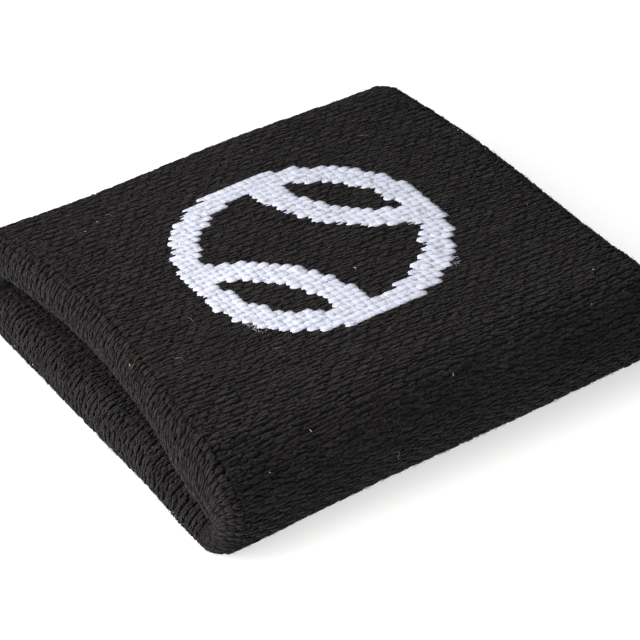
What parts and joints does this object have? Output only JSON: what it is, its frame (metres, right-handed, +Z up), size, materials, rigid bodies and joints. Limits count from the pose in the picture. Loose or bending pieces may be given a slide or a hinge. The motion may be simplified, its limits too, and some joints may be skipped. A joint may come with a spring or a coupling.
{
  "type": "sweat wristband",
  "caption": "Black knitted terry sweat wristband lying flat: double-ply stretch tube with rounded turned edges, open wrist tunnel and a white knitted ball motif on the upper face.",
  "frame": {"origin": "centre of the band's footprint on the surface that it lies on", "axes": "+X along the wrist opening towards the rear turned edge, +Y across the band towards the far fold, +Z up"},
  "size_m": [0.08, 0.08, 0.017],
  "materials": {
    "face_cloth": "black cotton face knit, matt with a short fuzz",
    "turned_edge": "the same face knit stretched round the open ends",
    "lining_cloth": "black cotton face knit, inner side",
    "terry_pile": "soft uncut cotton loops",
    "elastic_yarn": "covered elastic yarn",
    "seam_thread": "black overlock thread",
    "white_yarn": "white cotton face stitches",
    "white_float_yarn": "loose white yarn ends"
  },
  "bodies": {
    "lower_ply": {"lower_face_cloth": "face_cloth", "near_fold_face_cloth": "face_cloth", "far_fold_face_cloth": "face_cloth", "lower_pile_core": "terry_pile", "near_fold_pile_core": "terry_pile", "far_fold_pile_core": "terry_pile", "lower_lining_cloth": "lining_cloth", "near_fold_lining_cloth": "lining_cloth", "far_fold_lining_cloth": "lining_cloth", "lower_front_turned_edge": "turned_edge", "near_fold_front_turned_edge": "turned_edge", "far_fold_front_turned_edge": "turned_edge", "lower_rear_turned_edge": "turned_edge", "near_fold_rear_turned_edge": "turned_edge", "far_fold_rear_turned_edge": "turned_edge", "lower_elastic_yarns": "elastic_yarn", "near_fold_elastic_yarns": "elastic_yarn", "far_fold_elastic_yarns": "elastic_yarn", "lower_joining_seam": "seam_thread", "near_fold_joining_seam": "seam_thread", "far_fold_joining_seam": "seam_thread"},
    "upper_ply": {"upper_face_cloth": "face_cloth", "upper_pile_core": "terry_pile", "upper_lining_cloth": "lining_cloth", "upper_front_turned_edge": "turned_edge", "upper_rear_turned_edge": "turned_edge", "upper_elastic_yarns": "elastic_yarn", "upper_joining_seam": "seam_thread", "motif_stitches": "white_yarn", "motif_cut_floats": "white_float_yarn"}
  },
  "joints": [
    {"name": "mouth_opening", "type": "slide", "parent": "lower_ply", "child": "upper_ply", "axis": [0, 0, 1], "range_m": [0, 0.028], "stiffness_N_per_m": 100}
  ]
}
